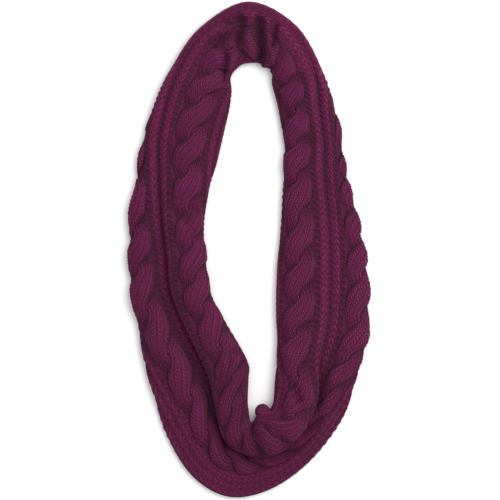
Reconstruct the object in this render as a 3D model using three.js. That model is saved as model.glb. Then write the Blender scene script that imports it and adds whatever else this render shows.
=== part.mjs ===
// A cable-knit infinity scarf lying flat: one knitted panel whose ends are joined into a ring.
// Units are millimetres, +Z is up, the cloth rests on z = 0 and the origin is below the ring's middle.
// Along the panel, distance is counted in cable repeats: one repeat runs from one crossing to the next.
import * as THREE from 'three';

// The knitted panel
const REPEAT_LENGTH = 54;
const REPEATS = 27;
const WALL = 3;
const RIM_GAP = 0.3;

// Zones across the panel, from its inner free edge to its outer one
const EDGE_RIB_WIDTH = 38;
const CABLE_WIDTH = 54;
const CENTRE_RIB_WIDTH = 38;
const PANEL_WIDTH = 2 * EDGE_RIB_WIDTH + 2 * CABLE_WIDTH + CENTRE_RIB_WIDTH;
const PANEL_MIDDLE = PANEL_WIDTH / 2;
const INNER_CABLE_MIDDLE = EDGE_RIB_WIDTH + CABLE_WIDTH / 2;
const OUTER_CABLE_MIDDLE = PANEL_WIDTH - INNER_CABLE_MIDDLE;

// Relief that the stitches raise on the outer side of the wall
const STRAND_HALF_WIDTH = 14.5;
const STRAND_SWING = 9.5;
const STRAND_HEIGHT = 7;
const STRAND_LIFT = 2.2;
const RIB_HEIGHT = 2.6;
const EDGE_RIBS = 3;
const CENTRE_RIBS = 2;

// How far the base form stays inside the outline, to leave room for the relief
const INNER_INSET = 2.5;
const OUTER_INSET = 4.5;
const TURN_RADIUS = 8;

// Overlap from which the inner half hangs over the fold as a full lip
const FULL_LAP = 14;

// Cloth distance either side of the fold's foot over which the relief is pressed flat
const FOLD_REACH = 14;

// One row for each cable repeat, clockwise from the upper right as seen from above.
// inX, inY, outX, outY: the ring's inner and outer outline at that crossing.
// rib: where the middle rib lies, as a share of the way out. lap: how far the inner half overhangs it.
// crestIn, foot, crestOut: heights of the inner half, of the middle rib and of the outer half.
// turn: 1 where the outer edge is folded under, 0 where it lies open on the table.
const COLUMNS = ['inX', 'inY', 'outX', 'outY', 'rib', 'lap', 'crestIn', 'foot', 'crestOut', 'turn'];
const SECTIONS = [
  [30, 254, 111, 248, 0.8, 0, 20, 15, 17, 1],
  [33, 235, 129, 186, 0.71, 0, 20, 14, 17, 1],
  [43, 194, 137, 129, 0.69, 0, 19, 14, 17, 1],
  [50, 136, 144, 91, 0.62, 0, 19, 14, 18, 1],
  [47, 86, 157, 41, 0.6, 0, 19, 14, 18, 1],
  [44, 21, 167, -9, 0.59, 0, 19, 14, 18, 1],
  [40, -28, 172, -65, 0.58, 0, 19, 14, 18, 1],
  [38, -76, 170, -132, 0.58, 1, 20, 13, 18, 1],
  [40, -130, 156, -190, 0.57, 5, 23, 11, 17, 0.55],
  [37, -188, 133, -247, 0.64, 16, 29, 7, 15, 0.1],
  [33, -221, 87, -306, 0.65, 22, 32, 6, 13, 0],
  [19, -221, 30, -345, 0.62, 25, 31, 6, 12, 0],
  [6, -243, -29, -355, 0.45, 21, 26, 6, 12, 0],
  [0, -221, -81, -326, 0.47, 19, 27, 6, 14, 0],
  [1, -182, -118, -268, 0.44, 13, 29, 7, 17, 0.1],
  [-1, -157, -144, -191, 0.45, 8, 28, 8, 19, 0.8],
  [-30, -103, -158, -124, 0.5, 6, 26, 9, 19, 1],
  [-51, -62, -169, -56, 0.55, 5, 25, 10, 18, 1],
  [-58, -16, -170, -3, 0.56, 4, 24, 10, 18, 1],
  [-61, 28, -168, 53, 0.61, 3, 24, 11, 17, 1],
  [-57, 75, -158, 120, 0.7, 1, 22, 13, 16, 1],
  [-45, 120, -151, 166, 0.77, 0, 21, 14, 16, 1],
  [-33, 171, -134, 217, 0.82, 0, 21, 14, 16, 1],
  [-23, 217, -112, 260, 0.85, 0, 21, 15, 16, 1],
  [-24, 245, -70, 318, 0.89, 0, 22, 16, 17, 1],
  [-7, 263, 0, 355, 0.91, 0, 22, 18, 18, 1],
  [16, 262, 70, 320, 0.9, 0, 22, 18, 18, 1],
];

// Gathers and hollows in the upper layer: soft grooves from one point to another. press is the share of the
// cloth's height that a groove takes away.
const CREASE_COLUMNS = ['fromX', 'fromY', 'toX', 'toY', 'reach', 'press'];
const CREASES = [
  [14, 324, 17, 273, 8, 0.6],
  [37, 317, 34, 293, 6, 0.4],
  [-10, 324, -16, 296, 7, 0.5],
  [-34, 320, -16, 329, 6, 0.4],
  [-54, 293, -22, 305, 7, 0.35],
  [-34, 273, -37, 241, 6, 0.35],
  [8, -262, 18, -290, 9, 0.22],
  [67, -199, 71, -214, 7, 0.25],
  [-20, -148, -43, -185, 6, 0.22],
  [-77, 53, -88, 39, 7, 0.25],
];

// The stretches that the ring is divided into, by the repeats where each starts and ends
const STRETCHES = [
  { name: 'panel_right_run', from: 1.5, to: 8.5, stationsPerRepeat: 5 },
  { name: 'panel_bottom_bend', from: 8.5, to: 15.5, stationsPerRepeat: 5 },
  { name: 'panel_left_run', from: 15.5, to: 22.5, stationsPerRepeat: 5 },
  { name: 'panel_top_bend', from: 22.5, to: 28.5, stationsPerRepeat: 10 },
];

const lerp = THREE.MathUtils.lerp;
const clamp = THREE.MathUtils.clamp;
const smooth = THREE.MathUtils.smoothstep;

const named = (columns, row) => Object.fromEntries(columns.map((column, i) => [column, row[i]]));
const creases = CREASES.map((row) => named(CREASE_COLUMNS, row));

// A smooth curve through four neighbouring values, between the middle two
function through(a, b, c, d, t) {
  return b + 0.5 * t * (c - a + t * (2 * a - 5 * b + 4 * c - d + t * (3 * (b - c) + d - a)));
}

// The section at any distance along the panel, in repeats
function sectionAt(s) {
  const i = Math.floor(s);
  const rows = [-1, 0, 1, 2].map((step) => SECTIONS[(i + step + 2 * REPEATS) % REPEATS]);
  const values = COLUMNS.map((_, k) => through(...rows.map((row) => row[k]), s - i));
  const section = named(COLUMNS, values);
  section.turn = clamp(section.turn, 0, 1);
  section.lap = Math.max(0, section.lap);
  return section;
}

// Length of a chain of [across, height] points up to each of them
function lengthsOf(points) {
  const lengths = [0];
  for (let i = 1; i < points.length; i++) {
    const step = Math.hypot(points[i][0] - points[i - 1][0], points[i][1] - points[i - 1][1]);
    lengths.push(lengths[i - 1] + step);
  }
  return lengths;
}

// The section's base form, from the inner free edge to the outer one: the inner tail under the fold, the
// inner half's crest, the foot of the fold, the outer half's crest and the outer tail.
function profileOf(section) {
  const { rib, lap, crestIn, foot, crestOut, turn } = section;
  const outline = Math.hypot(section.outX - section.inX, section.outY - section.inY);
  const width = outline - INNER_INSET - OUTER_INSET;
  const ribAt = Math.min(rib * outline - INNER_INSET, width - TURN_RADIUS);
  const footAt = ribAt - lap;
  const overhang = clamp(lap / FULL_LAP, 0, 1);
  const rise = crestIn - foot;
  const lipAt = ribAt - lerp(10, 4, overhang);
  const lipHeight = foot + lerp(0.7, 0.56, overhang) * rise;

  const inner = [
    [footAt, foot],
    [footAt - lerp(3, 4, overhang), foot + lerp(0.25, 0.2, overhang) * rise],
    [lerp(footAt, lipAt, 0.6), foot + lerp(0.5, 0.36, overhang) * rise],
    [lipAt, lipHeight],
    [lipAt - lerp(5, 6, overhang), lerp(lipHeight, crestIn, 0.8)],
    [lerp(lipAt, TURN_RADIUS, 0.55), crestIn],
    [TURN_RADIUS + 1, 0.8 * crestIn],
    [0, 0.42 * crestIn],
    [TURN_RADIUS, 0],
  ];
  const span = width - ribAt;
  const under = turn * turn;
  const outer = [
    [footAt, foot],
    [ribAt + 0.12 * span, foot + 0.15 * (crestOut - foot)],
    [ribAt + 0.42 * span, crestOut],
    [ribAt + 0.78 * span, lerp(0.65, 0.85, turn) * crestOut],
    [width - lerp(4, 0, turn), lerp(7, 0.42 * crestOut, turn)],
    [width - lerp(0, TURN_RADIUS, under), lerp(5, 0, under)],
  ];

  // Cloth that doesn't show lies under the fold. It is drawn up where both sides would meet there.
  const fold = PANEL_MIDDLE + 0.5 * lap;
  const outerCloth = PANEL_WIDTH - fold;
  const shownIn = Math.min(lengthsOf(inner).at(-1), fold - 4);
  const shownOut = lerp(outerCloth - 1, Math.min(lengthsOf(outer).at(-1), outerCloth - 4), turn);
  const hidden = { inner: fold - shownIn, outer: outerCloth - shownOut };
  const floorRoom = width - 2 * TURN_RADIUS - 4;
  const fit = Math.min(1, floorRoom / (hidden.inner + hidden.outer));
  const innerRoom = lap > 1 ? Math.max(1, footAt - TURN_RADIUS - 14) : floorRoom;
  const innerTail = Math.min(hidden.inner * fit, innerRoom);
  const outerTail = Math.max(1, hidden.outer * fit * turn);
  const outerEnd = outer.at(-1);

  const knots = [
    [TURN_RADIUS + innerTail, 0],
    ...inner.reverse(),
    ...outer.slice(1),
    [outerEnd[0] + lerp(1, -outerTail, under), lerp(4.4, 0, under)],
  ];
  const vectors = knots.map(([d, z]) => new THREE.Vector3(d, z, 0));
  const curve = new THREE.CatmullRomCurve3(vectors, false, 'centripetal');
  const points = curve.getPoints(8 * (knots.length - 1)).map((p) => [p.x, p.y]);
  const lengths = lengthsOf(points);
  const lengthAtKnot = (k) => lengths[8 * k];
  const places = [
    [0, 0],
    [fold - shownIn, lengthAtKnot(1)],
    [fold, lengthAtKnot(inner.length)],
    [fold + shownOut, lengthAtKnot(knots.length - 2)],
    [PANEL_WIDTH, lengths.at(-1)],
  ];
  return { section, outline, fold, overhang, points, lengths, places };
}

// A place on the base form at cloth distance v from the inner free edge, with its outward normal
function placeOn({ points, lengths, places }, v) {
  let k = 1;
  while (k < places.length - 1 && places[k][0] < v) k++;
  const [[fromV, fromLength], [toV, toLength]] = [places[k - 1], places[k]];
  const along = lerp(fromLength, toLength, (v - fromV) / (toV - fromV));
  let i = 1;
  while (i < lengths.length - 1 && lengths[i] < along) i++;
  const t = clamp((along - lengths[i - 1]) / (lengths[i] - lengths[i - 1]), 0, 1);
  const tangentAt = (j) => {
    const before = points[Math.max(0, j - 2)];
    const after = points[Math.min(points.length - 1, j + 2)];
    return [after[0] - before[0], after[1] - before[1]];
  };
  const [ta, tb] = [tangentAt(i - 1), tangentAt(i)];
  const tangent = [lerp(ta[0], tb[0], t), lerp(ta[1], tb[1], t)];
  const size = Math.hypot(...tangent);
  return {
    across: lerp(points[i - 1][0], points[i][0], t),
    height: lerp(points[i - 1][1], points[i][1], t),
    normal: [-tangent[1] / size, tangent[0] / size],
  };
}

// A rope cable: two strands that change places at each whole repeat, the same one always on top
function cableRelief(offset, s) {
  const swing = STRAND_SWING * Math.cos(Math.PI * (s + 0.5));
  const lift = STRAND_LIFT * Math.sin(Math.PI * (s + 0.5));
  const strand = (middle, raised) => {
    const share = 1 - ((offset - middle) / STRAND_HALF_WIDTH) ** 2;
    return share > 0 ? Math.sqrt(share) * STRAND_HEIGHT + raised * share : 0;
  };
  return Math.max(0, strand(swing, lift), strand(-swing, -lift));
}

function ribRelief(offset, width, ribs) {
  return RIB_HEIGHT * Math.sin((Math.PI * ribs * offset) / width) ** 2;
}

function reliefAt(v, s) {
  const fromEdge = Math.min(v, PANEL_WIDTH - v);
  if (fromEdge < EDGE_RIB_WIDTH) return ribRelief(fromEdge, EDGE_RIB_WIDTH, EDGE_RIBS);
  if (Math.abs(v - INNER_CABLE_MIDDLE) <= CABLE_WIDTH / 2) return cableRelief(v - INNER_CABLE_MIDDLE, s);
  if (Math.abs(v - OUTER_CABLE_MIDDLE) <= CABLE_WIDTH / 2) return cableRelief(v - OUTER_CABLE_MIDDLE, s);
  return ribRelief(fromEdge - EDGE_RIB_WIDTH - CABLE_WIDTH, CENTRE_RIB_WIDTH, CENTRE_RIBS);
}

// The share of its height that the upper layer keeps at a point seen from above
function keptHeight(x, y) {
  return creases.reduce((kept, { fromX, fromY, toX, toY, reach, press }) => {
    const [dx, dy] = [toX - fromX, toY - fromY];
    const t = clamp(((x - fromX) * dx + (y - fromY) * dy) / (dx * dx + dy * dy), 0, 1);
    const away = Math.hypot(x - fromX - t * dx, y - fromY - t * dy) / reach;
    return kept * (1 - press * Math.exp(-away * away));
  }, 1);
}

// A point of the wall in space: depth 0 is the knitted outer side with its relief, 1 the plain inner side
function wallPoint(profile, s, v, depth) {
  const { section, outline, fold, overhang } = profile;
  const { across, height, normal } = placeOn(profile, v);
  const faceUp = smooth(normal[1], -0.55, 0);
  const pinched = overhang * Math.exp(-(((v - fold) / FOLD_REACH) ** 2));
  const curled = 4 * section.turn * (1 - section.turn) * smooth(v, PANEL_WIDTH - EDGE_RIB_WIDTH / 2, PANEL_WIDTH);
  const wall = WALL * (1 - 0.75 * curled);
  const raised = depth ? -wall : reliefAt(v, s) * faceUp * (1 - pinched);
  const d = INNER_INSET + across + normal[0] * raised;
  const x = lerp(section.inX, section.outX, d / outline);
  const y = lerp(section.inY, section.outY, d / outline);
  const upper = smooth(normal[1], 0.2, 0.8) * smooth(height, 12, 16);
  const z = (height + normal[1] * raised) * lerp(1, keptHeight(x, y), upper);
  return [x, y, Math.max(0, z)];
}

// Cloth distances of the mesh columns: one on each rib's crest and groove, closer ones beside the fold's
// foot, and six spaces to a cable. The plain inner side follows them only where the cloth can lap.
const evenly = (from, width, steps) => Array.from({ length: steps }, (_, i) => from + (width * i) / steps);
const FOLD_COLUMNS = [-1, -0.5, -0.2, 0, 0.2, 0.5].map((k) => PANEL_MIDDLE + (k * CENTRE_RIB_WIDTH) / 2);
const OUTER_CABLE_START = PANEL_MIDDLE + CENTRE_RIB_WIDTH / 2;
const CABLE_SPACES = 6;
const OUTER_SIDE_COLUMNS = [
  ...evenly(0, EDGE_RIB_WIDTH, 2 * EDGE_RIBS),
  ...evenly(EDGE_RIB_WIDTH, CABLE_WIDTH, CABLE_SPACES),
  ...FOLD_COLUMNS,
  ...evenly(OUTER_CABLE_START, CABLE_WIDTH, CABLE_SPACES),
  ...evenly(PANEL_WIDTH - EDGE_RIB_WIDTH, EDGE_RIB_WIDTH, 2 * EDGE_RIBS),
  PANEL_WIDTH,
];
const INNER_SIDE_COLUMNS = [
  ...evenly(0, EDGE_RIB_WIDTH, 2),
  ...evenly(EDGE_RIB_WIDTH, CABLE_WIDTH, CABLE_SPACES),
  ...FOLD_COLUMNS,
  ...evenly(OUTER_CABLE_START, CABLE_WIDTH + EDGE_RIB_WIDTH, 4),
  PANEL_WIDTH,
];

// The columns near the middle move with the fold's foot, so that one always lies on it.
function columnPlace(column, fold) {
  return column + (fold - PANEL_MIDDLE) * Math.max(0, 1 - Math.abs(column - PANEL_MIDDLE) / CABLE_WIDTH);
}

// One stretch of the panel as a closed wall: outer side, inner side, both free edges and both ends
function stretchGeometry({ from, to, stationsPerRepeat }) {
  const gap = RIM_GAP / 2 / REPEAT_LENGTH;
  const stations = Math.round((to - from) * stationsPerRepeat);
  const positions = [];
  const rows = { outer: [], inner: [] };
  const addRow = (list, profile, s, columns, depth) => {
    const places = columns.map((column) => columnPlace(column, profile.fold));
    list.push(places.map((v) => positions.push(...wallPoint(profile, s, v, depth)) / 3 - 1));
  };
  for (let i = 0; i <= stations; i++) {
    const s = lerp(from + gap, to - gap, i / stations);
    const profile = profileOf(sectionAt(s));
    addRow(rows.outer, profile, s, OUTER_SIDE_COLUMNS, 0);
    addRow(rows.inner, profile, s, INNER_SIDE_COLUMNS, 1);
  }

  const index = [];
  const quad = (a, b, c, d) => index.push(a, d, b, b, d, c);
  for (let i = 0; i < stations; i++) {
    const [outer, outerNext] = [rows.outer[i], rows.outer[i + 1]];
    const [inner, innerNext] = [rows.inner[i], rows.inner[i + 1]];
    for (let j = 1; j < outer.length; j++) quad(outer[j - 1], outer[j], outerNext[j], outerNext[j - 1]);
    for (let j = 1; j < inner.length; j++) quad(inner[j], inner[j - 1], innerNext[j - 1], innerNext[j]);
    quad(inner[0], outer[0], outerNext[0], innerNext[0]);
    quad(outer.at(-1), inner.at(-1), innerNext.at(-1), outerNext.at(-1));
  }
  closeEnd(index, positions, rows.outer[0], rows.inner[0], true);
  closeEnd(index, positions, rows.outer[stations], rows.inner[stations], false);

  const geometry = new THREE.BufferGeometry();
  geometry.setAttribute('position', new THREE.Float32BufferAttribute(positions, 3));
  geometry.setIndex(index);
  geometry.computeVertexNormals();
  return geometry;
}

// Triangles across the wall's thickness at one end, always over the shorter of the two next diagonals
function closeEnd(index, positions, outer, inner, atStart) {
  const pointAt = (k) => new THREE.Vector3().fromArray(positions, 3 * k);
  const distance = (a, b) => (a === undefined || b === undefined ? Infinity : pointAt(a).distanceTo(pointAt(b)));
  let [i, j] = [0, 0];
  while (i < outer.length - 1 || j < inner.length - 1) {
    const stepOuter = distance(outer[i + 1], inner[j]) <= distance(outer[i], inner[j + 1]);
    const face = [outer[i], inner[j], stepOuter ? outer[++i] : inner[++j]];
    index.push(...(atStart ? face.reverse() : face));
  }
}

function knitMaterial() {
  return new THREE.MeshStandardMaterial({ color: 0x57273f, roughness: 0.95, metalness: 0 });
}

const scarf = new THREE.Group();
for (const stretch of STRETCHES) {
  const mesh = new THREE.Mesh(stretchGeometry(stretch), knitMaterial());
  mesh.name = stretch.name;
  scarf.add(mesh);
}

// The origin lies under the middle of the whole outline.
const middle = new THREE.Box3().setFromObject(scarf).getCenter(new THREE.Vector3());
scarf.position.set(-middle.x, -middle.y, 0);
scarf.updateMatrixWorld(true);

export default scarf;
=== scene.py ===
import math

import bpy
import numpy as np
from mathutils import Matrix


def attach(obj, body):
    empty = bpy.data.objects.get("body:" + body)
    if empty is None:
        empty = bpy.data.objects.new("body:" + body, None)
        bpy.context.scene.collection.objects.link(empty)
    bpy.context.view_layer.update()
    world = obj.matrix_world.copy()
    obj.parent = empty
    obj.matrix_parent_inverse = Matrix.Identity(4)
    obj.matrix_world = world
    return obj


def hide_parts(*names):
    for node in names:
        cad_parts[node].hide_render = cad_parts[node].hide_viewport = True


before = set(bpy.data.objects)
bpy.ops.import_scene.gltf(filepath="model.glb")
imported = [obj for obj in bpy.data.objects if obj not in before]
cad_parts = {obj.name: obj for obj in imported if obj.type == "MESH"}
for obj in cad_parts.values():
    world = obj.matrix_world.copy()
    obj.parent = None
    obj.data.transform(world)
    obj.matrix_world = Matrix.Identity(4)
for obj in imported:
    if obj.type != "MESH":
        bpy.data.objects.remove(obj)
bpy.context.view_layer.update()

# The form of the laid ring
# The scarf is one long panel of chunky plied yarn whose ends are joined. It lies flat with both edges
# turned under, and at the lower bend its inner half laps over the outer one. Sizes here are in millimetres.
REPEATS = 27
ROWS_PER_REPEAT = 12
STEPS_PER_ROW = 4
STEPS = REPEATS * ROWS_PER_REPEAT * STEPS_PER_ROW
WALL = 3.0

# The middle of the whole outline, which lies over the frame's origin.
RING_MIDDLE_X = 1.21
RING_MIDDLE_Y = -0.08

EDGE_RIB_WIDTH = 38.0
CABLE_WIDTH = 54.0
CENTRE_RIB_WIDTH = 38.0
PANEL_WIDTH = 2 * EDGE_RIB_WIDTH + 2 * CABLE_WIDTH + CENTRE_RIB_WIDTH
PANEL_MIDDLE = PANEL_WIDTH / 2
INNER_CABLE_MIDDLE = EDGE_RIB_WIDTH + CABLE_WIDTH / 2
OUTER_CABLE_MIDDLE = PANEL_WIDTH - INNER_CABLE_MIDDLE

INNER_INSET = 2.5
OUTER_INSET = 4.5
TURN_RADIUS = 8.0
FULL_LAP = 14.0
FOLD_REACH = 14.0
# How far from the lap's fold, and how strongly, painted shade darkens the yarn's colour in its valley.
SHADED_REACH = 20.0
VALLEY_SHADE = 0.85

# One row for each cable repeat, clockwise from the upper right as seen from above.
# inX, inY, outX, outY: the ring's inner and outer outline along that knitted row.
# rib: where the middle rib lies, as a share of the way out. lap: how far the inner half overhangs it.
# crest_in, foot, crest_out: heights of the inner half, of the middle rib and of the outer half.
# turn: 1 where the outer edge is folded under, 0 where it lies open on the table.
SECTION_COLUMNS = "in_x in_y out_x out_y rib lap crest_in foot crest_out turn".split()
SECTIONS = [
    (30, 254, 111, 248, 0.8, 0, 20, 15, 17, 1),
    (33, 235, 129, 186, 0.71, 0, 20, 14, 17, 1),
    (43, 194, 137, 129, 0.69, 0, 19, 14, 17, 1),
    (50, 136, 144, 91, 0.62, 0, 19, 14, 18, 1),
    (47, 86, 157, 41, 0.6, 0, 19, 14, 18, 1),
    (44, 21, 167, -9, 0.59, 0, 19, 14, 18, 1),
    (40, -28, 172, -65, 0.58, 0, 19, 14, 18, 1),
    (38, -76, 170, -132, 0.58, 1, 20, 13, 18, 1),
    (40, -130, 156, -190, 0.57, 5, 23, 11, 17, 0.55),
    (37, -188, 133, -247, 0.64, 16, 29, 7, 15, 0.1),
    (33, -221, 87, -306, 0.65, 22, 32, 6, 13, 0),
    (19, -221, 30, -345, 0.62, 25, 31, 6, 12, 0),
    (6, -243, -29, -355, 0.45, 21, 26, 6, 12, 0),
    (0, -221, -81, -326, 0.47, 19, 27, 6, 14, 0),
    (1, -182, -118, -268, 0.44, 13, 29, 7, 17, 0.1),
    (-1, -157, -144, -191, 0.45, 8, 28, 8, 19, 0.8),
    (-30, -103, -158, -124, 0.5, 6, 26, 9, 19, 1),
    (-51, -62, -169, -56, 0.55, 5, 25, 10, 18, 1),
    (-58, -16, -170, -3, 0.56, 4, 24, 10, 18, 1),
    (-61, 28, -168, 53, 0.61, 3, 24, 11, 17, 1),
    (-57, 75, -158, 120, 0.7, 1, 22, 13, 16, 1),
    (-45, 120, -151, 166, 0.77, 0, 21, 14, 16, 1),
    (-33, 171, -134, 217, 0.82, 0, 21, 14, 16, 1),
    (-23, 217, -112, 260, 0.85, 0, 21, 15, 16, 1),
    (-24, 245, -70, 318, 0.89, 0, 22, 16, 17, 1),
    (-7, 263, 0, 355, 0.91, 0, 22, 18, 18, 1),
    (16, 262, 70, 320, 0.9, 0, 22, 18, 18, 1),
]

# Gathers and hollows in the upper layer: soft grooves from one point to another. press is the share of the
# cloth's height that a groove takes away, and the yarn's colour there is darkened by painted shade in the same share.
CREASES = [
    # from_x, from_y, to_x, to_y, reach, press
    (14, 324, 17, 273, 8, 0.6),
    (37, 317, 34, 293, 6, 0.4),
    (-10, 324, -16, 296, 7, 0.5),
    (-34, 320, -16, 329, 6, 0.4),
    (-54, 293, -22, 305, 7, 0.35),
    (-34, 273, -37, 241, 6, 0.35),
    (8, -262, 18, -290, 9, 0.22),
    (67, -199, 71, -214, 7, 0.25),
    (-20, -148, -43, -185, 6, 0.22),
    (-77, 53, -88, 39, 7, 0.25),
]


def smooth(x, low, high):
    t = np.clip((x - low) / (high - low), 0, 1)
    return t * t * (3 - 2 * t)


def mix(a, b, t):
    return a + (b - a) * t


def section_at(s):
    """The section at a distance along the panel, in repeats, on a smooth curve through the rows."""
    i = math.floor(s)
    t = s - i
    a, b, c, d = (np.array(SECTIONS[(i + step) % REPEATS], float) for step in (-1, 0, 1, 2))
    values = b + 0.5 * t * (c - a + t * (2 * a - 5 * b + 4 * c - d + t * (3 * (b - c) + d - a)))
    section = dict(zip(SECTION_COLUMNS, values))
    section["turn"] = min(max(section["turn"], 0), 1)
    section["lap"] = max(section["lap"], 0)
    return section


def curve_through(knots, steps=14):
    """Points of a centripetal curve through the knots."""
    knots = np.array(knots, float)
    padded = np.vstack([2 * knots[0] - knots[1], knots, 2 * knots[-1] - knots[-2]])
    gaps = np.maximum(np.sqrt(np.linalg.norm(np.diff(padded, axis=0), axis=1)), 1e-4)
    t = np.arange(steps)[:, None] / steps
    spans = []
    for k in range(len(knots) - 1):
        p0, p1, p2, p3 = padded[k : k + 4]
        g0, g1, g2 = gaps[k : k + 3]
        m1 = ((p1 - p0) / g0 - (p2 - p0) / (g0 + g1) + (p2 - p1) / g1) * g1
        m2 = ((p2 - p1) / g1 - (p3 - p1) / (g1 + g2) + (p3 - p2) / g2) * g1
        spans.append(p1 + t * (m1 + t * (3 * (p2 - p1) - 2 * m1 - m2 + t * (2 * (p1 - p2) + m1 + m2))))
    return np.vstack([*spans, knots[-1:]])


def lengths_of(points):
    steps = np.linalg.norm(np.diff(np.array(points, float), axis=0), axis=1)
    return np.concatenate([[0], np.cumsum(steps)])


def profile_of(section):
    """The section's base form, from the inner free edge round the fold's foot to the outer free edge."""
    lap, foot, turn = section["lap"], section["foot"], section["turn"]
    crest_in, crest_out = section["crest_in"], section["crest_out"]
    outline = math.hypot(section["out_x"] - section["in_x"], section["out_y"] - section["in_y"])
    width = outline - INNER_INSET - OUTER_INSET
    rib_at = min(section["rib"] * outline - INNER_INSET, width - TURN_RADIUS)
    foot_at = rib_at - lap
    overhang = min(lap / FULL_LAP, 1)
    rise = crest_in - foot
    lip_at = rib_at - mix(10, 4, overhang)
    lip_height = foot + mix(0.7, 0.56, overhang) * rise
    inner = [
        (foot_at, foot),
        (foot_at - mix(3, 4, overhang), foot + mix(0.25, 0.2, overhang) * rise),
        (mix(foot_at, lip_at, 0.6), foot + mix(0.5, 0.36, overhang) * rise),
        (lip_at, lip_height),
        (lip_at - mix(5, 6, overhang), mix(lip_height, crest_in, 0.8)),
        (mix(lip_at, TURN_RADIUS, 0.55), crest_in),
        (TURN_RADIUS + 1, 0.8 * crest_in),
        (0, 0.42 * crest_in),
        (TURN_RADIUS, 0),
    ]
    span = width - rib_at
    under = turn * turn
    outer = [
        (foot_at, foot),
        (rib_at + 0.12 * span, foot + 0.15 * (crest_out - foot)),
        (rib_at + 0.42 * span, crest_out),
        (rib_at + 0.78 * span, mix(0.65, 0.85, turn) * crest_out),
        (width - mix(4, 0, turn), mix(7, 0.42 * crest_out, turn)),
        (width - mix(0, TURN_RADIUS, under), mix(5, 0, under)),
    ]

    fold = PANEL_MIDDLE + 0.5 * lap
    outer_cloth = PANEL_WIDTH - fold
    shown_in = min(lengths_of(inner)[-1], fold - 4)
    shown_out = mix(outer_cloth - 1, min(lengths_of(outer)[-1], outer_cloth - 4), turn)
    hidden_in, hidden_out = fold - shown_in, outer_cloth - shown_out
    floor_room = width - 2 * TURN_RADIUS - 4
    fit = min(1, floor_room / (hidden_in + hidden_out))
    inner_room = max(1, foot_at - TURN_RADIUS - 14) if lap > 1 else floor_room
    inner_tail = min(hidden_in * fit, inner_room)
    outer_tail = max(1, hidden_out * fit * turn)
    end_across = outer[-1][0]
    knots = [
        (TURN_RADIUS + inner_tail, 0),
        *reversed(inner),
        *outer[1:],
        (end_across + mix(1, -outer_tail, under), mix(4.4, 0, under)),
    ]
    points = curve_through(knots)
    lengths = lengths_of(points)
    at_knot = lengths[:: (len(points) - 1) // (len(knots) - 1)]
    profile = {
        "section": section,
        "outline": outline,
        "fold": fold,
        "overhang": overhang,
        "points": points,
        "lengths": lengths,
        "cloth": [0, fold - shown_in, fold, fold + shown_out, PANEL_WIDTH],
        "curve": [0, at_knot[1], at_knot[len(inner)], at_knot[-2], at_knot[-1]],
    }
    across_panel = np.linspace(0, PANEL_WIDTH, 215)
    facing_up = across_panel[place_on(profile, across_panel)[3] > 0]
    profile["sides"] = facing_up[0], facing_up[-1] if facing_up[-1] < PANEL_WIDTH else 2 * PANEL_WIDTH
    return profile


def place_on(profile, v):
    """Where cloth distances v lie on the base form: across, height, and the outward normal there."""
    points, lengths = profile["points"], profile["lengths"]
    along = np.interp(v, profile["cloth"], profile["curve"])
    across, height = (np.interp(along, lengths, points[:, k]) for k in (0, 1))
    slopes = np.gradient(points, axis=0)
    slopes[2:-2] = (points[4:] - points[:-4]) / 4
    run, climb = (np.interp(along, lengths, slopes[:, k]) for k in (0, 1))
    size = np.hypot(run, climb)
    return across, height, -climb / size, run / size


def kept_height(x, y):
    """The share of its height that the upper layer keeps at points seen from above."""
    kept = np.ones_like(x)
    for from_x, from_y, to_x, to_y, reach, press in CREASES:
        dx, dy = to_x - from_x, to_y - from_y
        t = np.clip(((x - from_x) * dx + (y - from_y) * dy) / (dx * dx + dy * dy), 0, 1)
        away = np.hypot(x - from_x - t * dx, y - from_y - t * dy) / reach
        kept *= 1 - press * np.exp(-away * away)
    return kept


def cloth_points(profile, v, raised, lowest=0.0):
    """Points of the cloth at distances v across the panel, each raised off the base form by its own height."""
    section, outline = profile["section"], profile["outline"]
    across, height, normal_across, normal_up = place_on(profile, v)
    d = (INNER_INSET + across + normal_across * raised) / outline
    x = mix(section["in_x"], section["out_x"], d)
    y = mix(section["in_y"], section["out_y"], d)
    upper = smooth(normal_up, 0.2, 0.8) * smooth(height, 12, 16)
    z = (height + normal_up * raised) * mix(1, kept_height(x, y), upper)
    return np.stack([x, y, np.maximum(z, lowest)], axis=-1)


def face_up(profile, v):
    """1 where the cloth faces up or sideways, fading to 0 where it faces the table or lies in the fold."""
    side_in, side_out = profile["sides"]
    shown = smooth(v, side_in - 11, side_in + 1) * (1 - smooth(v, side_out - 1, side_out + 11))
    normal_up = place_on(profile, v)[3]
    under_lip = np.where(np.abs(v - profile["fold"]) < 35, smooth(normal_up, -0.55, 0), 1)
    pinched = profile["overhang"] * np.exp(-(((v - profile["fold"]) / FOLD_REACH) ** 2))
    return shown * under_lip * (1 - pinched)


def shaded(profile, v, points):
    """How much light the cloth loses, where it lies in a gather or in the lap's valley."""
    from_fold = (v - profile["fold"]) / SHADED_REACH
    valley = profile["overhang"] * np.exp(-(from_fold**2))
    return 1 - kept_height(points[:, 0], points[:, 1]) * (1 - VALLEY_SHADE * valley)


PROFILES = [profile_of(section_at(k * REPEATS / STEPS)) for k in range(STEPS)]

# The ribbed ground
# Between and beside the cables the panel is knitted in raised ribs of large tucked stitches, with open purl
# ladders between them. Under the cables it is plain purl. The back of the cloth is smooth.
EDGE_RIBS = 3
CENTRE_RIBS = 2
RIB_HEIGHT = 2.4
RIB_LOFT = 0.7
LADDER_PIT = 2.0
RIB_STEPS = 12
CENTRE_RIB_STEPS = 16
LADDER_WIDTH = 6.0
LONGEST_STEP = 1.4


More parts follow.
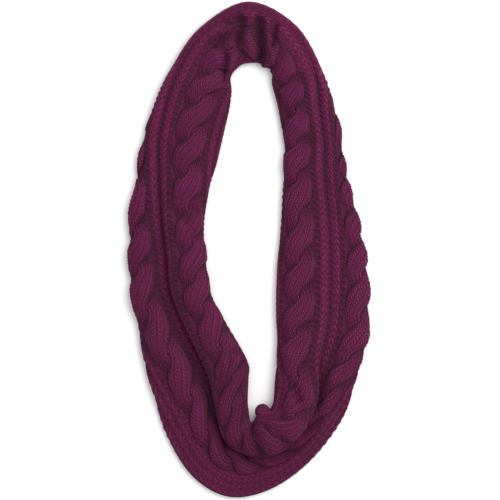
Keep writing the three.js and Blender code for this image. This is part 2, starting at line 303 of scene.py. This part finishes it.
def rib_columns(start, width, ribs, steps):
    """Cloth distance, relief, stitch coordinate, loft and pit of the mesh columns over some ribs."""
    k = np.arange(ribs * steps)
    turns = k / steps
    wave = np.sin(np.pi * turns) ** 2
    relief = RIB_HEIGHT * wave**0.7
    stitch = np.floor(turns) + np.clip((turns % 1 - 0.5) * 1.9 + 0.5, 0, 1)
    loft = RIB_LOFT * smooth(wave, 0.25, 0.65)
    pit = LADDER_PIT * (1 - smooth(wave, 0.15, 0.6))
    return np.stack([start + width * turns / ribs, relief, stitch, loft, pit], axis=-1)


def ground_columns(start):
    """The mesh columns under a cable: a purl ladder at each side and plain cloth between."""
    edge = np.array([0, 0.25, 0.5, 0.75, 1]) * LADDER_WIDTH
    middle = np.linspace(LADDER_WIDTH, CABLE_WIDTH - LADDER_WIDTH, 8)[1:-1]
    places = np.concatenate([edge, middle, CABLE_WIDTH - edge[::-1]])[:-1]
    from_side = np.minimum(places, CABLE_WIDTH - places)
    pit = LADDER_PIT * (1 - smooth(from_side, 1, LADDER_WIDTH))
    zero = np.zeros_like(places)
    return np.stack([start + places, zero, zero, zero, pit], axis=-1)


GROUND = np.vstack([
    rib_columns(0, EDGE_RIB_WIDTH, EDGE_RIBS, RIB_STEPS),
    ground_columns(EDGE_RIB_WIDTH),
    rib_columns(EDGE_RIB_WIDTH + CABLE_WIDTH, CENTRE_RIB_WIDTH, CENTRE_RIBS, CENTRE_RIB_STEPS),
    ground_columns(PANEL_MIDDLE + CENTRE_RIB_WIDTH / 2),
    rib_columns(PANEL_WIDTH - EDGE_RIB_WIDTH, EDGE_RIB_WIDTH, EDGE_RIBS, RIB_STEPS),
    [(PANEL_WIDTH, 0, 0, 0, 0)],
])
BACK = np.concatenate([np.linspace(0, 34, 4), np.linspace(42, 146, 18), np.linspace(156, PANEL_WIDTH, 5)])


def knitted_grid(rows_of_points, cloth, stitch, course_length, loft, slant, pit, painted_shade):
    """A closed ring of mesh rows with what the stitches need at each vertex."""
    points = np.array(rows_of_points)
    steps = np.arange(len(points))[:, None] / STEPS_PER_ROW + np.zeros(points.shape[1])
    return {
        "points": points,
        "cloth": np.broadcast_to(cloth, points.shape[:2]),
        "stitch": np.broadcast_to(stitch, points.shape[:2]),
        "course": steps / course_length,
        "loft": np.array(loft),
        "slant": np.array(slant),
        "pit": np.array(pit),
        "painted_shade": np.broadcast_to(painted_shade, points.shape[:2]),
    }


# At the lower bend the inner edge is drawn in where it is rolled into a small knob: where that is along the
# panel, in repeats, how far it reaches along and across, and how far the edge is drawn in.
KNOB_AT = 10.55
KNOB_REACH_ALONG = 0.36
KNOB_REACH_ACROSS = 9.0
KNOB_DRAW = 4.0

# Where the ring bends sharply the cloth is pulled tight and the ladders close up.
TIGHT_BENDS = [
    # at, reach, share
    (25.6, 2.4, 0.6),
    (12.0, 3.2, 0.5),
]


def ladders_open(s):
    """How far the ladders stand open at a distance along the panel, in repeats."""
    return 1 - sum(share * math.exp(-(((s - at) / reach) ** 2)) for at, reach, share in TIGHT_BENDS)


def ground_grids():
    """The outer side of the ground with its ribs, and the plain back of the cloth."""
    outer, loft, slant, pit, painted_shade, back = [], [], [], [], [], []
    # The plain purl under the cables takes a fixed share of painted shade, for the shade the cables cast on it.
    plain = 0.2 * (GROUND[:, 3] + GROUND[:, 4] == 0)
    v, relief, stitch, column_loft, column_pit = GROUND.T
    for k, profile in enumerate(PROFILES):
        shown = face_up(profile, v)
        level = smooth(place_on(profile, v)[3], 0, 0.6)
        along = (k * REPEATS / STEPS - KNOB_AT) / KNOB_REACH_ALONG
        across = (v - profile["sides"][0]) / KNOB_REACH_ACROSS
        drawn = KNOB_DRAW * np.exp(-(along**2) - across**2)
        outer.append(cloth_points(profile, v, relief * shown - drawn))
        loft.append(column_loft * shown * mix(0.7, 1, level))
        slant.append(column_loft / RIB_LOFT * shown * level)
        pit.append(column_pit * shown * mix(0.4, 1, level) * ladders_open(k * REPEATS / STEPS))
        # Painted shade: the plain cloth under the cables, the gathers and the lap's valley are darkened in the yarn's
        # colour.
        painted_shade.append(plain + shaded(profile, v, outer[-1]))
        turn = profile["section"]["turn"]
        curled = 4 * turn * (1 - turn) * smooth(BACK, PANEL_WIDTH - EDGE_RIB_WIDTH / 2, PANEL_WIDTH)
        back.append(cloth_points(profile, BACK, -WALL * (1 - 0.75 * curled)))
    nothing = np.zeros((STEPS, len(BACK)))
    return (
        knitted_grid(outer, v, stitch, 2, loft, slant, pit, painted_shade),
        knitted_grid(back, BACK, BACK / 4, 1, nothing, nothing, nothing, nothing),
    )


def directions(grid, closed_across):
    """Adds outward normals and steps along the ring to a grid, and calms the stitches where rows crowd."""
    points = grid["points"]
    along = (np.roll(points, -1, axis=0) - np.roll(points, 1, axis=0)) / 2
    if closed_across:
        across = (np.roll(points, -1, axis=1) - np.roll(points, 1, axis=1)) / 2
    else:
        across = np.gradient(points, axis=1)
    step = np.linalg.norm(along, axis=-1)
    for key in ("loft", "slant", "pit"):
        grid[key] = grid[key] * smooth(step, 0.1, 0.8)
    along *= np.minimum(1, LONGEST_STEP / np.maximum(step, 1e-9))[..., None]
    out = np.cross(across, along)
    grid["out"] = out / np.maximum(np.linalg.norm(out, axis=-1, keepdims=True), 1e-9)
    grid["along"] = along


FIELDS = ("stitch", "course", "loft", "slant", "pit", "painted_shade")


def stretch_mesh(name, grids, first, last, faces_of):
    """A mesh of the rows first to last of some grids, with the stitch attributes on its vertices."""
    count = last + 1 - first
    starts, points, fields = [], [], {key: [] for key in FIELDS}
    outs, alongs = [], []
    for grid in grids:
        starts.append(sum(len(p) for p in points))
        width = grid["points"].shape[1]
        rows = np.arange(first, last + 1) % len(grid["points"])
        points.append(grid["points"][rows].reshape(-1, 3))
        outs.append(grid["out"][rows].reshape(-1, 3))
        alongs.append(grid["along"][rows].reshape(-1, 3))
        for key, parts in fields.items():
            values = grid[key][rows]
            if key == "course":
                values = grid[key][0] + np.arange(first, last + 1)[:, None] * (grid[key][1] - grid[key][0])
            parts.append(np.broadcast_to(values, (count, width)).ravel())
    vertices = (np.vstack(points) - (RING_MIDDLE_X, RING_MIDDLE_Y, 0)) * 0.001
    quads, triangles = faces_of(starts, [g["points"].shape[1] for g in grids], count, vertices)

    mesh = bpy.data.meshes.new(name)
    corners = np.concatenate([quads.ravel(), triangles.ravel()]).astype(np.int32)
    sizes = np.concatenate([np.full(len(quads), 4), np.full(len(triangles), 3)]).astype(np.int32)
    mesh.vertices.add(len(vertices))
    mesh.vertices.foreach_set("co", vertices.ravel().astype(np.float32))
    mesh.loops.add(len(corners))
    mesh.loops.foreach_set("vertex_index", corners)
    mesh.polygons.add(len(sizes))
    mesh.polygons.foreach_set("loop_start", np.concatenate([[0], np.cumsum(sizes)[:-1]]).astype(np.int32))
    mesh.update(calc_edges=True)
    mesh.polygons.foreach_set("use_smooth", np.ones(len(sizes), bool))
    for key in FIELDS:
        values = mesh.attributes.new(key, "FLOAT", "POINT").data
        values.foreach_set("value", np.concatenate(fields[key]).astype(np.float32))
    for key, vectors in (("out", outs), ("along", alongs)):
        values = mesh.attributes.new(key, "FLOAT_VECTOR", "POINT").data
        values.foreach_set("vector", np.vstack(vectors).ravel().astype(np.float32))
    places = np.stack([np.concatenate(fields["stitch"]), np.concatenate(fields["course"])], axis=-1)
    uv = mesh.uv_layers.new(name="knit")
    uv.data.foreach_set("uv", places[corners].ravel().astype(np.float32))
    mesh.validate()
    piece = bpy.data.objects.new(name, mesh)
    bpy.context.scene.collection.objects.link(piece)
    return piece


def strip_quads(a, b, c, d):
    return np.stack([np.ravel(x) for x in (a, b, c, d)], axis=-1)


def wall_faces(starts, widths, rows, vertices):
    """Faces of a closed wall: its outer side, its back, both free edges and both ends."""
    outer = starts[0] + np.arange(rows * widths[0]).reshape(rows, widths[0])
    back = starts[1] + np.arange(rows * widths[1]).reshape(rows, widths[1])
    quads = np.vstack([
        strip_quads(outer[:-1, :-1], outer[:-1, 1:], outer[1:, 1:], outer[1:, :-1])[:, ::-1],
        strip_quads(back[:-1, :-1], back[1:, :-1], back[1:, 1:], back[:-1, 1:])[:, ::-1],
        strip_quads(outer[:-1, 0], outer[1:, 0], back[1:, 0], back[:-1, 0])[:, ::-1],
        strip_quads(outer[:-1, -1], back[:-1, -1], back[1:, -1], outer[1:, -1])[:, ::-1],
    ])
    triangles = []
    for row, step in ((0, 1), (-1, -1)):
        i = j = 0
        a, b = outer[row], back[row]
        while i < len(a) - 1 or j < len(b) - 1:
            over = np.linalg.norm(vertices[a[i + 1]] - vertices[b[j]]) if i < len(a) - 1 else math.inf
            under = np.linalg.norm(vertices[a[i]] - vertices[b[j + 1]]) if j < len(b) - 1 else math.inf
            face = [a[i], b[j]]
            i, j = (i + 1, j) if over <= under else (i, j + 1)
            face.append(a[i] if over <= under else b[j])
            triangles.append(face[::-step])
    return quads, np.array(triangles)


outer_side, back_side = ground_grids()
for grid in (outer_side, back_side):
    directions(grid, False)


# The knitted stitches
# Every stitch is a loop of plied yarn whose two legs form a V. On the ribs they are large and deep, on the
# cables small and even. The legs of each course lean over the course below.
def link(tree, output, target):
    tree.links.new(output, target)


def math_node(tree, operation, *values):
    """A Math node whose inputs are sockets or plain numbers. Returns its output socket."""
    node = tree.nodes.new("ShaderNodeMath")
    node.operation = operation
    for socket, value in zip(node.inputs, values):
        if isinstance(value, (int, float)):
            socket.default_value = value
        else:
            link(tree, value, socket)
    return node.outputs[0]


def attribute_node(tree, name, kind="FLOAT"):
    node = tree.nodes.new("GeometryNodeInputNamedAttribute")
    node.data_type = kind
    node.inputs["Name"].default_value = name
    return next(o for o in node.outputs if o.enabled and o.name == "Attribute")


def stitch_tree():
    """Geometry Nodes that raise each vertex into its stitch, lean the legs and keep each stitch's relief as crown for
    the painted light and shade of the yarn's colour.
    """
    tree = bpy.data.node_groups.new("Knit stitches", "GeometryNodeTree")
    tree.interface.new_socket("Geometry", in_out="INPUT", socket_type="NodeSocketGeometry")
    for name in ("Loft", "Lean", "Yarn Waist"):
        tree.interface.new_socket(name, in_out="INPUT", socket_type="NodeSocketFloat")
    tree.interface.new_socket("Yarn", in_out="INPUT", socket_type="NodeSocketMaterial")
    tree.interface.new_socket("Geometry", in_out="OUTPUT", socket_type="NodeSocketGeometry")
    start = tree.nodes.new("NodeGroupInput")
    end = tree.nodes.new("NodeGroupOutput")
    names = ("stitch", "course", "loft", "slant", "pit")
    stitch, course, loft, slant, pit = (attribute_node(tree, name) for name in names)
    out, along = (attribute_node(tree, n, "FLOAT_VECTOR") for n in ("out", "along"))

    # Across a stitch: two legs with a shallow groove between them and a deep one beside them
    turn = math_node(tree, "MULTIPLY", stitch, 2 * math.pi)
    legs = math_node(tree, "COSINE", math_node(tree, "MULTIPLY", turn, 2))
    legs = math_node(tree, "MULTIPLY_ADD", legs, -0.5, 0.5)
    middle = math_node(tree, "MULTIPLY_ADD", math_node(tree, "COSINE", turn), -0.5, 0.5)
    across = math_node(tree, "MAXIMUM", legs, math_node(tree, "MULTIPLY", middle, 0.55))

    # Along the courses: each leg swells between the waists where it passes behind its neighbours
    beat = math_node(tree, "COSINE", math_node(tree, "MULTIPLY", course, 2 * math.pi))
    swell = math_node(tree, "MULTIPLY_ADD", beat, -0.5, 0.5)
    swell = math_node(tree, "POWER", swell, 0.6)
    waist = start.outputs["Yarn Waist"]
    swell = math_node(tree, "MULTIPLY_ADD", swell, math_node(tree, "SUBTRACT", 1.0, waist), waist)
    rise = math_node(tree, "MULTIPLY", across, swell)

    # The purl ladders have a hole at each waist
    hole = math_node(tree, "MULTIPLY", math_node(tree, "MULTIPLY_ADD", beat, 0.5, 0.5), pit)
    height = math_node(tree, "MULTIPLY", math_node(tree, "MULTIPLY", rise, loft), start.outputs["Loft"])
    height = math_node(tree, "MULTIPLY", math_node(tree, "SUBTRACT", height, hole), 0.001)

    from_middle = math_node(tree, "ABSOLUTE", math_node(tree, "SUBTRACT", math_node(tree, "FRACT", stitch), 0.5))
    lean = math_node(tree, "MULTIPLY", math_node(tree, "MULTIPLY", from_middle, 2), start.outputs["Lean"])
    lean = math_node(tree, "MULTIPLY", lean, slant)
    lean = math_node(tree, "MULTIPLY", lean, 0.001 * STEPS_PER_ROW)

    def scaled(vector, amount):
        node = tree.nodes.new("ShaderNodeVectorMath")
        node.operation = "SCALE"
        link(tree, vector, node.inputs[0])
        link(tree, amount, node.inputs["Scale"])
        return node.outputs[0]

    offset = tree.nodes.new("ShaderNodeVectorMath")
    offset.operation = "ADD"
    link(tree, scaled(out, height), offset.inputs[0])
    link(tree, scaled(along, lean), offset.inputs[1])

    # The stitch's relief, less a little in the ladder holes, is kept as crown; the yarn's colour paints it lighter on
    # the crowns and darker in the low parts.
    painted_shade = tree.nodes.new("GeometryNodeStoreNamedAttribute")
    painted_shade.data_type = "FLOAT"
    painted_shade.domain = "POINT"
    painted_shade.inputs["Name"].default_value = "crown"
    link(tree, start.outputs["Geometry"], painted_shade.inputs["Geometry"])
    crown = math_node(tree, "SUBTRACT", rise, math_node(tree, "MULTIPLY", hole, 0.15))
    link(tree, crown, next(i for i in painted_shade.inputs if i.enabled and i.name == "Value"))
    move = tree.nodes.new("GeometryNodeSetPosition")
    link(tree, painted_shade.outputs["Geometry"], move.inputs["Geometry"])
    link(tree, offset.outputs[0], move.inputs["Offset"])
    real = tree.nodes.new("GeometryNodeRealizeInstances")
    link(tree, move.outputs["Geometry"], real.inputs["Geometry"])
    dress = tree.nodes.new("GeometryNodeSetMaterial")
    link(tree, start.outputs["Yarn"], dress.inputs["Material"])
    link(tree, real.outputs["Geometry"], dress.inputs["Geometry"])
    link(tree, dress.outputs["Geometry"], end.inputs["Geometry"])
    return tree


def knit(piece, tree, **sizes):
    """Runs the stitches over a piece and keeps the result as its plain mesh."""
    modifier = piece.modifiers.new("Knit", "NODES")
    modifier.node_group = tree
    for item in tree.interface.items_tree:
        if item.in_out == "INPUT" and item.name in sizes:
            modifier[item.identifier] = sizes[item.name]
    evaluated = piece.evaluated_get(bpy.context.evaluated_depsgraph_get())
    mesh = bpy.data.meshes.new_from_object(evaluated)
    mesh.name = piece.name
    piece.modifiers.clear()
    old = piece.data
    piece.data = mesh
    bpy.data.meshes.remove(old)


# The plum yarn
# A soft acrylic and wool yarn of several plies, matt, dark plum, flecked with paler loose fibres. Its colour is
# painted lighter on the crowns of the stitches as painted light, and almost black between them as painted shade.
# The colour ramp runs from painted shade, through the plum of the yarn itself, to the pale fibre flecks and the
# painted light on the stitch crowns.
PLUM_PAINTED_SHADE = (0.024, 0.012, 0.017, 1)
PLUM_PAINTED_HALF_SHADE = (0.056, 0.0095, 0.028, 1)
PLUM = (0.116, 0.0105, 0.053, 1)
PLUM_FLECK_AND_PAINTED_LIGHT = (0.185, 0.024, 0.09, 1)
LEG_SLOPE = 0.9


def step_node(tree, value, low, high):
    """A smooth step of a value from low to high, which may run either way."""
    node = tree.nodes.new("ShaderNodeMapRange")
    node.interpolation_type = "SMOOTHSTEP"
    node.inputs["From Min"].default_value = low
    node.inputs["From Max"].default_value = high
    link(tree, value, node.inputs["Value"])
    return node.outputs["Result"]


def noise_node(tree, vector, scale, detail):
    node = tree.nodes.new("ShaderNodeTexNoise")
    node.inputs["Scale"].default_value = scale
    node.inputs["Detail"].default_value = detail
    link(tree, vector, node.inputs["Vector"])
    return node.outputs["Fac"]


def yarn_material(name, ground_tone, groove_shade):
    material = bpy.data.materials.new(name)
    material.use_nodes = True
    tree = material.node_tree
    shader = tree.nodes["Principled BSDF"]
    shader.inputs["Roughness"].default_value = 0.92
    shader.inputs["Specular IOR Level"].default_value = 0.08
    shader.inputs["Sheen Weight"].default_value = 0.06
    shader.inputs["Sheen Roughness"].default_value = 0.5
    shader.inputs["Sheen Tint"].default_value = (0.9, 0.4, 0.65, 1)

    crown = tree.nodes.new("ShaderNodeAttribute")
    crown.attribute_name = "crown"
    ladder = tree.nodes.new("ShaderNodeAttribute")
    ladder.attribute_name = "pit"
    place = tree.nodes.new("ShaderNodeTexCoord").outputs["Object"]
    uv = tree.nodes.new("ShaderNodeUVMap")
    uv.uv_map = "knit"
    split = tree.nodes.new("ShaderNodeSeparateXYZ")
    link(tree, uv.outputs["UV"], split.inputs[0])
    stitch, course = split.outputs["X"], split.outputs["Y"]

    # Each stitch is a V. Its legs slope from the middle of the wale up to its sides. The grooves between the legs and
    # the courses dent the bump and are painted dark as painted shade.
    side = math_node(tree, "ABSOLUTE", math_node(tree, "SUBTRACT", math_node(tree, "FRACT", stitch), 0.5))
    sloped = math_node(tree, "SUBTRACT", course, math_node(tree, "MULTIPLY", side, LEG_SLOPE))
    beat = math_node(tree, "FRACT", sloped)
    beat = math_node(tree, "MINIMUM", beat, math_node(tree, "SUBTRACT", 1.0, beat))
    row_gap = step_node(tree, beat, 0.36, 0.04)
    wale_gap = math_node(tree, "MULTIPLY", step_node(tree, side, 0.33, 0.5), 0.8)
    middle_gap = math_node(tree, "MULTIPLY", step_node(tree, side, 0.12, 0.0), 0.5)
    groove = math_node(tree, "MAXIMUM", row_gap, math_node(tree, "MAXIMUM", wale_gap, middle_gap))
    groove = math_node(tree, "MULTIPLY", groove, step_node(tree, ladder.outputs["Fac"], 1.2, 0.2))

    # The purl ladders are painted with a dark hole of painted shade at each course, and darker rungs between.
    open_beat = math_node(tree, "COSINE", math_node(tree, "MULTIPLY", course, 2 * math.pi))
    hole = step_node(tree, open_beat, 0.0, 0.85)
    hole = math_node(tree, "MULTIPLY", hole, step_node(tree, ladder.outputs["Fac"], 0.6, 1.5))
    rung = math_node(tree, "COSINE", math_node(tree, "MULTIPLY", course, 4 * math.pi))
    in_ladder = step_node(tree, ladder.outputs["Fac"], 0.1, 0.7)
    rung = math_node(tree, "MULTIPLY", step_node(tree, rung, -0.3, 0.9), in_ladder)

    patches = noise_node(tree, place, 26, 3)
    fibres = noise_node(tree, place, 600, 4)
    # Painted light and shade: the crowns of the stitches are painted lighter and their low parts darker.
    tone = math_node(tree, "MULTIPLY_ADD", crown.outputs["Fac"], 0.14, ground_tone)
    # Painted shade in the grooves between the stitches.
    tone = math_node(tree, "SUBTRACT", tone, math_node(tree, "MULTIPLY", groove, groove_shade))
    # Painted shade in the ladders: their core, holes, rungs and depth are painted darker.
    core = step_node(tree, ladder.outputs["Fac"], 0.9, 1.7)
    tone = math_node(tree, "SUBTRACT", tone, math_node(tree, "MULTIPLY", core, 0.14))
    tone = math_node(tree, "SUBTRACT", tone, math_node(tree, "MULTIPLY", hole, 0.3))
    tone = math_node(tree, "SUBTRACT", tone, math_node(tree, "MULTIPLY", rung, 0.12))
    tone = math_node(tree, "SUBTRACT", tone, math_node(tree, "MULTIPLY", ladder.outputs["Fac"], 0.09))
    # Painted shade kept on the vertices: in gathers, in the lap's valley, under the cables and along the strands.
    painted_shade = tree.nodes.new("ShaderNodeAttribute")
    painted_shade.attribute_name = "painted_shade"
    tone = math_node(tree, "SUBTRACT", tone, math_node(tree, "MULTIPLY", painted_shade.outputs["Fac"], 0.5))
    speckle = math_node(tree, "MULTIPLY_ADD", fibres, 1.5, -0.75)
    blotch = math_node(tree, "MULTIPLY_ADD", patches, 0.25, -0.125)
    tone = math_node(tree, "ADD", tone, math_node(tree, "ADD", speckle, blotch))

    depth = tree.nodes.new("ShaderNodeValToRGB")
    ramp = depth.color_ramp.elements
    ramp[0].color = PLUM_PAINTED_SHADE
    ramp[1].color = PLUM_FLECK_AND_PAINTED_LIGHT
    ramp.new(0.3).color = PLUM_PAINTED_HALF_SHADE
    ramp.new(0.62).color = PLUM
    link(tree, tone, depth.inputs["Fac"])
    link(tree, depth.outputs["Color"], shader.inputs["Base Color"])

    # Plies twist round the yarn as fine slanting ridges, and loose fibres roughen them.
    plies = tree.nodes.new("ShaderNodeTexWave")
    plies.bands_direction = "DIAGONAL"
    plies.inputs["Scale"].default_value = 1.6
    plies.inputs["Distortion"].default_value = 1.5
    plies.inputs["Detail"].default_value = 2
    link(tree, uv.outputs["UV"], plies.inputs["Vector"])
    lump = math_node(tree, "MULTIPLY_ADD", groove, -2.0, fibres)
    lump = math_node(tree, "MULTIPLY_ADD", plies.outputs["Fac"], 0.4, lump)
    bump = tree.nodes.new("ShaderNodeBump")
    bump.inputs["Strength"].default_value = 0.7
    bump.inputs["Distance"].default_value = 0.001
    link(tree, lump, bump.inputs["Height"])
    link(tree, bump.outputs["Normal"], shader.inputs["Normal"])
    return material


# Two copies of the same yarn: the one in the cables takes a lighter base tone and darker painted shade in its
# grooves.
yarn = yarn_material("plum yarn", 0.70, 0.36)
cable_yarn = yarn_material("plum yarn in cables", 0.87, 0.66)
stitches = stitch_tree()

# The panel's stretches
# The ring is knitted in one length. It is divided where its solids are: down the right side, round the lower
# bend, up the left side and round the gathered top. The stretches meet at a course, so no seam shows.
STRETCHES = {
    "right_run": (1.5, 8.5, "panel_right_run"),
    "bottom_bend": (8.5, 15.5, "panel_bottom_bend"),
    "left_run": (15.5, 22.5, "panel_left_run"),
    "top_bend": (22.5, 28.5, "panel_top_bend"),
}
STEPS_PER_REPEAT = ROWS_PER_REPEAT * STEPS_PER_ROW

panels = {}
for name, (start, stop, node) in STRETCHES.items():
    first, last = round(start * STEPS_PER_REPEAT), round(stop * STEPS_PER_REPEAT)
    panel = stretch_mesh("knit_" + name, [outer_side, back_side], first, last, wall_faces)
    knit(panel, stitches, Yarn=yarn, Loft=1.0, Lean=1.0, **{"Yarn Waist": 0.1})
    panels[name] = panel

# The rope cables
# Two rope cables run the length of the panel. Each is two strands of four stitches that change places every
# twelfth course, always with the same one in front, and stand well clear of the ground.
STRAND_STITCHES = 4
STITCH_WIDTH = 6.3
STRAND_HALF_WIDTH = STRAND_STITCHES * STITCH_WIDTH / 2
STRAND_EDGE = STRAND_HALF_WIDTH + 0.4
STRAND_SPREAD = 0.45
STRAND_SWING = 11.2
STRAND_HEIGHT = 4.6
STRAND_LIFT = 2.6
STRAND_SUNK = 1.2
STRAND_LOWEST = 0.7
STRAND_LOFT = 1.3
DIVE_SHADE = 0.6


def strand_section():
    """Columns round a strand: its crown of stitches, then its plain underside."""
    crown = np.linspace(-STRAND_HALF_WIDTH, STRAND_HALF_WIDTH, STRAND_STITCHES * 6 + 1)
    height = STRAND_HEIGHT * (1 - np.abs(crown / STRAND_EDGE) ** 2.4) ** 0.6
    under = np.linspace(STRAND_HALF_WIDTH - 1, -STRAND_HALF_WIDTH + 1, 4)
    offset = np.concatenate([crown, under])
    height = np.concatenate([height, np.full(4, -STRAND_SUNK)])
    stitch = np.concatenate([crown / STITCH_WIDTH + STRAND_STITCHES / 2, np.zeros(4)])
    loft = np.concatenate([np.full(len(crown), STRAND_LOFT), np.zeros(4)])
    return offset, height, stitch, loft


def strand_grid(middle, side):
    """One strand of a cable, from its place across the panel. side is 1 or -1.

    The crossings are odd in number, so each strand runs on past the start and closes on the other one.
    """
    offset, height, stitch, column_loft = strand_section()
    on_crown = column_loft > 0
    points, loft, slant, painted_shade = [], [], [], []
    at_edge = np.where(on_crown, smooth(np.abs(offset), STRAND_HALF_WIDTH - 4.5, STRAND_HALF_WIDTH), 1)
    for k in range(STEPS + 2 * STEPS_PER_REPEAT):
        profile = PROFILES[k % STEPS]
        turn = math.pi * (k * REPEATS / STEPS + 0.5)
        swing = side * STRAND_SWING * math.asin(0.94 * math.cos(turn)) / math.asin(0.94)
        lift = side * STRAND_LIFT * math.sin(turn)
        spread = offset * (1 + STRAND_SPREAD * math.sin(turn) ** 2)
        v = middle + swing + spread
        shown = face_up(profile, v)
        level = smooth(place_on(profile, v)[3], 0, 0.6)
        crowned = height + lift * (1 - (offset / STRAND_EDGE) ** 2) + 0.5 * lift
        raised = np.where(on_crown, mix(-STRAND_SUNK, crowned, shown), height)
        points.append(cloth_points(profile, v, raised, STRAND_LOWEST))
        loft.append(column_loft * shown * mix(0.7, 1, level))
        slant.append(on_crown * shown * level)
        # Painted shade on the strands: darker at their edges near the cable's middle where the two strands meet, and
        # on the strand that passes under the other.
        between = at_edge * (1 - smooth(np.abs(swing + spread), 10, 21))
        passing_under = DIVE_SHADE * smooth(-side * math.sin(turn), 0.1, 0.95)
        painted_shade.append(between + passing_under + shaded(profile, v, points[-1]))
    grid = knitted_grid(points, middle + offset, stitch, 1, loft, slant, np.zeros((len(points), len(offset))), painted_shade)
    directions(grid, True)
    return grid


def tube_faces(starts, widths, rows, vertices):
    """Faces of closed strands side by side, each with both ends closed."""
    quads, triangles = [], []
    for start, width in zip(starts, widths):
        ring = start + np.arange(rows * width).reshape(rows, width)
        after = np.roll(ring, -1, axis=1)
        quads.append(strip_quads(ring[:-1], after[:-1], after[1:], ring[1:])[:, ::-1])
        low = [width - 1 - min(k, 3) for k in range(4)]
        for row, step in ((0, 1), (-1, -1)):
            loop = ring[row]
            crown, under = loop[: width - 4], loop[width - 4 :][::-1]
            for k in range(len(crown) - 1):
                j = min(k * 4 // (len(crown) - 1), 3)
                triangles.append([crown[k], crown[k + 1], under[j]][::step])
                following = min((k + 1) * 4 // (len(crown) - 1), 3)
                if following != j:
                    triangles.append([crown[k + 1], under[following], under[j]][::step])
    return np.vstack(quads), np.array(triangles)


strands = [strand_grid(m, side) for m in (INNER_CABLE_MIDDLE, OUTER_CABLE_MIDDLE) for side in (1, -1)]
for name, (start, stop, node) in STRETCHES.items():
    first, last = round(start * STEPS_PER_REPEAT), round(stop * STEPS_PER_REPEAT)
    cables = stretch_mesh("cables_" + name, strands, first, last, tube_faces)
    knit(cables, stitches, Yarn=cable_yarn, Loft=1.0, Lean=1.0, **{"Yarn Waist": 0.1})
    panel = panels[name]
    for piece in (panel, cables):
        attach(piece, "root")
    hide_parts(node)

# The knob
# At the lower end of the opening the inner edge is rolled up on itself into a small round knob of the same
# cloth, which lies in the bend of the edge.
KNOB_RADIUS = 10.4
KNOB_PLACE = (18.6, -229.5, 17.0)

bpy.ops.mesh.primitive_uv_sphere_add(segments=48, ring_count=32, radius=KNOB_RADIUS * 0.001)
knob = bpy.context.object
knob.name = "rolled_knob"
knob.data.name = "rolled_knob"
bpy.ops.object.shade_smooth()
turned_up = np.array([(1, 0, 0), (0, 0, -1), (0, 1, 0)])
ball = np.empty(len(knob.data.vertices) * 3, np.float32)
knob.data.vertices.foreach_get("co", ball)
ball = ball.reshape(-1, 3) @ turned_up.T
around = np.arctan2(ball[:, 2], ball[:, 0])
ball *= (1 + 0.05 * np.cos(6 * around) + 0.02 * np.sin(11 * around + 1))[:, None]
ball += np.array(KNOB_PLACE) * 0.001
knob.data.vertices.foreach_set("co", ball.astype(np.float32).ravel())
knit_places = knob.data.uv_layers[0]
knit_places.name = "knit"
uv = np.empty(len(knit_places.data) * 2, np.float32)
knit_places.data.foreach_get("uv", uv)
knit_places.data.foreach_set("uv", (uv.reshape(-1, 2) * (12, 7)).astype(np.float32).ravel())
knob.data.materials.append(cable_yarn)
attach(knob, "root")

# The table
# A plain white surface that the scarf lies on, lit by a large soft light above and a key from the upper right.
bpy.ops.mesh.primitive_plane_add(size=8, location=(0, 0, -0.0005))
floor = bpy.context.object
floor.name = "floor"
white = bpy.data.materials.new("white surface")
white.use_nodes = True
white.node_tree.nodes["Principled BSDF"].inputs["Base Color"].default_value = (0.95, 0.95, 0.95, 1)
white.node_tree.nodes["Principled BSDF"].inputs["Roughness"].default_value = 0.9
floor.data.materials.append(white)

scene = bpy.context.scene
scene.view_settings.view_transform = "Standard"
world = bpy.data.worlds.new("studio")
world.use_nodes = True
world.node_tree.nodes["Background"].inputs["Color"].default_value = (1, 1, 1, 1)
world.node_tree.nodes["Background"].inputs["Strength"].default_value = 0.65
scene.world = world

for name, place, size, power in (("key", (1.0, 0.7, 1.5), 1.8, 37), ("fill", (-0.9, -0.5, 1.6), 1.6, 6)):
    data = bpy.data.lights.new(name, "AREA")
    data.size = size
    data.energy = power
    lamp = bpy.data.objects.new(name, data)
    lamp.location = place
    direction = -lamp.location.copy()
    lamp.rotation_mode = "QUATERNION"
    lamp.rotation_quaternion = direction.to_track_quat("-Z", "Y")
    scene.collection.objects.link(lamp)

# The camera looks straight down, framed as in the photograph.
CAMERA_HEIGHT = 4.0
FRAME_WIDTH = 0.710
MIDDLE_HEIGHT = 0.012
camera_data = bpy.data.cameras.new("camera")
camera_data.sensor_width = 36
camera_data.lens = 36 * (CAMERA_HEIGHT - MIDDLE_HEIGHT) / FRAME_WIDTH
camera = bpy.data.objects.new("camera", camera_data)
camera.location = (0.001, -0.0005, CAMERA_HEIGHT)
scene.collection.objects.link(camera)
scene.camera = camera
